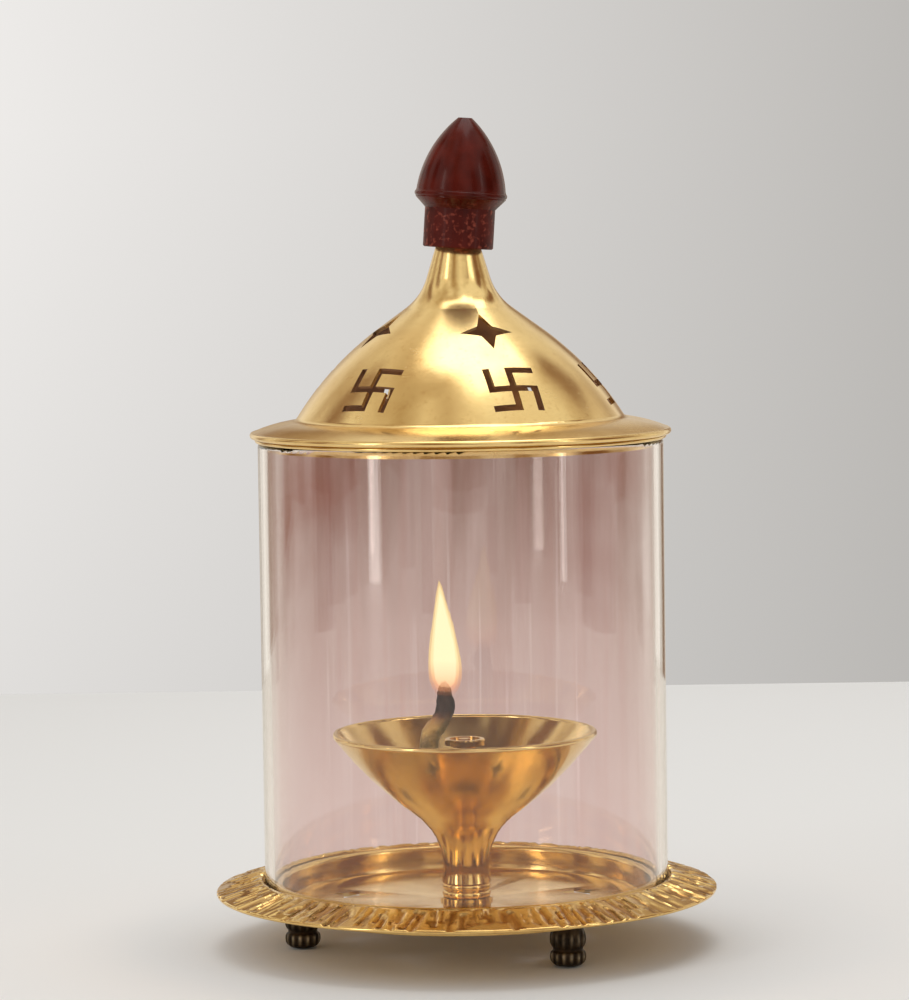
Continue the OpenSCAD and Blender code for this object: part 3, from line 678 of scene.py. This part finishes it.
# %% Feet
FLUTES = 14
FOOT_H = UNDER
foot_outline = [(0, 0.0), (2.2, 0.05), (3.2, 0.3), (3.85, 0.8), (4.25, 1.4), (4.4, 2.2), (4.35, 3.0),
                (4.15, 3.5), (3.75, 3.8), (3.6, 4.15), (3.65, 4.5), (4.0, 4.9), (4.3, 5.6), (4.4, 6.4),
                (4.38, 7.2), (4.25, 7.9), (4.0, 8.5), (3.8, 9.0), (3.8, FOOT_H - 0.01), (0, FOOT_H - 0.01)]
DRUMS = [(0.7, 3.8), (4.5, 8.8)]
FLUTE_DEPTH = 0.11
for name, angle in FEET.items():
    foot = turned(foot_outline, FLUTES * 8)
    rub_and_highlight_layer = foot.verts.layers.float.new("rub_and_highlight")
    for vert in foot.verts:
        up, turn = vert.co.z / MM, math.atan2(vert.co.y, vert.co.x)
        for bottom, top in DRUMS:
            if bottom < up < top:
                ridge = 0.5 + 0.5 * math.cos(FLUTES * turn)
                swell = math.sin(math.pi * (up - bottom) / (top - bottom))
                vert.co.xy *= 1 - FLUTE_DEPTH * swell * (1 - ridge) ** 1.5
                # The lower drum takes the full rub and painted highlight, the upper one about a third.
                vert[rub_and_highlight_layer] = ridge ** 3 * swell * (1.0 if top < 4.5 else 0.35)
    bmesh.ops.transform(foot, matrix=around(angle, FOOT_RING), verts=foot.verts)
    to_piece(foot, name + "_fluted", "base", bronze, [name])

# %% [markdown]
# The wick is loose cotton, rolled in the hand, so it is a bundle of soft strands with a slow twist. It lies
# part of a turn round the holder's post and then rises past the cap. A ring with a lobe for each strand is
# extruded from place to place along the route, turned a little each time, and shrunk to a ragged tip.

# %% Wick route
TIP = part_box("wick")[1].z / MM
holder_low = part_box("wick_holder")[0] / MM
WICK_R = 2.45
WIND_R = 5.15
HOLDER_FOOT, GAP = 5.4, 0.3
WIND_Z = holder_low.z + HOLDER_FOOT + WICK_R + GAP
route = [(WIND_R * math.cos(math.radians(a)), WIND_R * math.sin(math.radians(a)),
          WIND_Z + (a - 30) / 60, WICK_R) for a in range(30, 156, 25)]
route += [(x, y, WIND_Z + up, r) for x, y, up, r in [
    (-5.8, 0.6, 3.2, WICK_R), (-7.6, -0.8, 5.6, WICK_R), (-8.9, -1.5, 8.4, WICK_R),
    (-8.9, -1.5, 10.8, WICK_R),
    (-7.9, -1.2, 13.2, WICK_R), (-6.3, -0.8, 15.4, 2.35), (-5.0, -0.4, 17.6, 2.35), (-4.7, 0.0, 20.0, 2.35),
    (-4.8, 0.0, 22.2, 2.0), (-4.9, 0.0, 24.2, 1.5), (-4.9, 0.0, 25.4, 0.8)]]


def smooth_route(points, per_span):
    """More points along the same route, on a curve through every given point."""
    rows = [points[0]] + list(points) + [points[-1]]
    result = []
    for p0, p1, p2, p3 in zip(rows, rows[1:], rows[2:], rows[3:]):
        for k in range(per_span):
            t = k / per_span
            result.append(tuple(
                0.5 * (2 * b + (c - a) * t + (2 * a - 5 * b + 4 * c - d) * t * t
                       + (3 * b - a - 3 * c + d) * t ** 3)
                for a, b, c, d in zip(p0, p1, p2, p3)))
    return result + [points[-1]]


fine_route = smooth_route(route, 4)
print("wick route has", len(fine_route), "places")

# %% Wick
STRANDS, WICK_SIDES = 5, 30
TWIST, LOBE_DEPTH, FRAY_LENGTH = math.radians(9), 0.13, 4.3
random.seed(5)
wick = bmesh.new()
ring = bmesh.ops.create_circle(wick, segments=WICK_SIDES, radius=1, cap_ends=True)["verts"]
shape = [(v.co.copy(), math.atan2(v.co.y, v.co.x)) for v in ring]
edges = list({e for v in ring for e in v.link_edges})
side = Vector((0, 0, 1))
for i, (x, y, z, radius) in enumerate(fine_route):
    here = Vector((x, y, z))
    a, b = fine_route[max(i - 1, 0)], fine_route[min(i + 1, len(fine_route) - 1)]
    heading = (Vector(b[:3]) - Vector(a[:3])).normalized()
    side = (side - heading * side.dot(heading)).normalized()
    across = heading.cross(side)
    if i:
        pulled = bmesh.ops.extrude_edge_only(wick, edges=edges)["geom"]
        ring = [g for g in pulled if isinstance(g, bmesh.types.BMVert)]
        edges = [g for g in pulled if isinstance(g, bmesh.types.BMEdge)
                 and g.verts[0] in ring and g.verts[1] in ring]
    frayed = max(0.0, (z - TIP + FRAY_LENGTH) / FRAY_LENGTH)
    for vert, (flat, turn) in zip(ring, shape):
        lobe = 1 - LOBE_DEPTH * (1 - abs(math.cos(STRANDS / 2 * (turn + TWIST * i))))
        rough = 1 + random.uniform(-0.035, 0.02) + frayed * random.uniform(-0.35, 0.05)
        spread = flat * radius * lobe * rough
        fray = heading * frayed * random.uniform(-0.5, 0.3)
        vert.co = (here + side * spread.x + across * spread.y + fray) * MM
bmesh.ops.holes_fill(wick, edges=edges, sides=0)
bmesh.ops.recalc_face_normals(wick, faces=wick.faces)

cotton, tree, shader = start_material("oiled_cotton")
spot = add_node(tree, "ShaderNodeTexCoord").outputs["Object"]
level = add_node(tree, "ShaderNodeSeparateXYZ", {0: spot}).outputs["Z"]
fibres = add_node(tree, "ShaderNodeTexNoise", {"Vector": spot, "Scale": 1800.0, "Detail": 4.0}).outputs[0]
damp = add_node(tree, "ShaderNodeTexNoise", {"Vector": spot, "Scale": 420.0, "Detail": 3.0}).outputs[0]
oiled = blend_colours(tree, remap(tree, damp, 0.35, 0.7), (0.19, 0.13, 0.035, 1), (0.42, 0.33, 0.12, 1))
oiled = blend_colours(tree, remap(tree, fibres, 0.5, 0.8, 0.0, 0.5), oiled, (0.62, 0.54, 0.30, 1))
char_edge = maths(tree, "ADD", level, maths(tree, "MULTIPLY", damp, 3.5 * MM))
burnt = oiled
for low, high, colour in ((-9.8, -6.2, (0.085, 0.04, 0.025, 1)), (-7, -5.2, (0.016, 0.009, 0.012, 1)),
                          (-1, 1.2, (0.10, 0.045, 0.04, 1))):
    burnt = blend_colours(tree, remap(tree, char_edge, (TIP + low) * MM, (TIP + high) * MM), burnt, colour)
tree.links.new(burnt, shader.inputs["Base Color"])
dry = remap(tree, char_edge, (TIP - 9) * MM, (TIP - 5) * MM, 0.38, 0.85)
tree.links.new(dry, shader.inputs["Roughness"])
fluff = add_node(tree, "ShaderNodeBump", {"Height": fibres, "Distance": 2.5e-4, "Strength": 0.7})
tree.links.new(fluff.outputs[0], shader.inputs["Normal"])
to_piece(wick, "twisted_wick", "wick_stand", cotton, ["wick"])

# %% [markdown]
# The flame is light more than matter. A drawn-out drop is spun for it and leaned a little, with two smaller
# drops inside. The outer one is thin and amber, and fades to a clear orange at its base. The heart glows a
# pale yellow.

# %% Flame
FLAME_FOOT, FLAME_TIP = TIP - 3.75, TIP + 25.3
drop_profile = [(0, 0), (1.6, 0.012), (2.9, 0.055), (3.75, 0.124), (4.1, 0.213), (4.0, 0.316), (3.55, 0.447),
                (2.85, 0.585), (1.95, 0.729), (1.05, 0.866), (0.4, 0.962), (0, 1)]


def flame_drop(name, foot, tip, width, pale, base, seen, strength):
    """A leaning drop that glows: pale above, the base colour below, and clear at its foot."""
    rows = smooth_route([(r * width, foot + part * (tip - foot), 0) for r, part in drop_profile], 4)
    drop = turned([row[:2] for row in rows], 48)
    for vert in drop.verts:
        rise = max(0.0, vert.co.z / MM - FLAME_FOOT) / (FLAME_TIP - FLAME_FOOT)
        vert.co.x += (-4.5 - 1.3 * rise ** 1.6) * MM
    finish, tree, shader = start_material(name)
    spot = add_node(tree, "ShaderNodeTexCoord").outputs["Object"]
    level = add_node(tree, "ShaderNodeSeparateXYZ", {0: spot}).outputs["Z"]
    rise = remap(tree, level, FLAME_FOOT * MM, FLAME_TIP * MM)
    warm = blend_colours(tree, remap(tree, rise, 0.06, 0.32), (*base, 1), (*pale, 1))
    tree.links.new(warm, shader.inputs["Emission Color"])
    shader.inputs["Emission Strength"].default_value = strength
    shader.inputs["Base Color"].default_value = (0, 0, 0, 1)
    shader.inputs["Roughness"].default_value = 1.0
    shader.inputs["Specular IOR Level"].default_value = 0.0
    tree.links.new(remap(tree, rise, 0.02, 0.30, 0.05, seen), shader.inputs["Alpha"])
    return to_piece(drop, name, "wick_stand", finish)


flame_drop("flame", FLAME_FOOT, FLAME_TIP, 1.0, (1.0, 0.72, 0.30), (1.0, 0.33, 0.12), 0.45, 1.1)
flame_drop("flame_veil", FLAME_FOOT + 1, FLAME_TIP - 1.2, 0.86, (1.0, 0.86, 0.50), (1.0, 0.40, 0.16),
           0.60, 1.3)
flame_drop("flame_heart", FLAME_FOOT + 2.2, FLAME_TIP - 3, 0.70, (1.0, 0.95, 0.76), (1.0, 0.52, 0.24),
           0.95, 1.7)

glow = bpy.data.lights.new("flame_light", "POINT")
glow.energy, glow.color, glow.shadow_soft_size = 0.06, (1.0, 0.62, 0.28), 0.004
flame_light = bpy.data.objects.new("flame_light", glow)
flame_light.location = (-0.005, -0.006, (TIP + 12) * MM)
flame_light.visible_camera = flame_light.visible_transmission = flame_light.visible_glossy = False
bpy.context.scene.collection.objects.link(flame_light)
print("flame from", FLAME_FOOT, "to", FLAME_TIP, "mm")

# %% [markdown]
# The last cell measures the bounds of the dressed lamp.

# %% Sizes
low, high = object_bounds()
